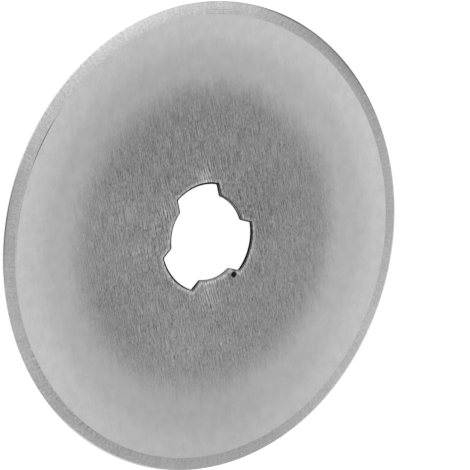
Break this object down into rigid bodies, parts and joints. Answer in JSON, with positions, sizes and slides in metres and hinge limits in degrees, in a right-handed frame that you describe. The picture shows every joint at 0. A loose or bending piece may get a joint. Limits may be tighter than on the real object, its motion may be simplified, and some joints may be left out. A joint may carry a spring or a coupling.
{
  "type": "rotary cutter blade",
  "caption": "Thin round steel blade with a lobed hub hole and an edge ground sharp from both faces, for a rolling hand cutter.",
  "frame": {"origin": "centre of the back face, on the axis of the hub hole", "axes": "+Z along the blade's axis, out of the front face; +Y through the middle of the lobe that has the pit beside it; the blade lies flat on its back face"},
  "size_m": [0.045, 0.045, 0.0003],
  "materials": {
    "ground_steel": "rolled grey web with straight grain, satin ground outer band, bevel ground across its width"
  },
  "bodies": {
    "root": {"blade": "ground_steel"}
  },
  "joints": []
}
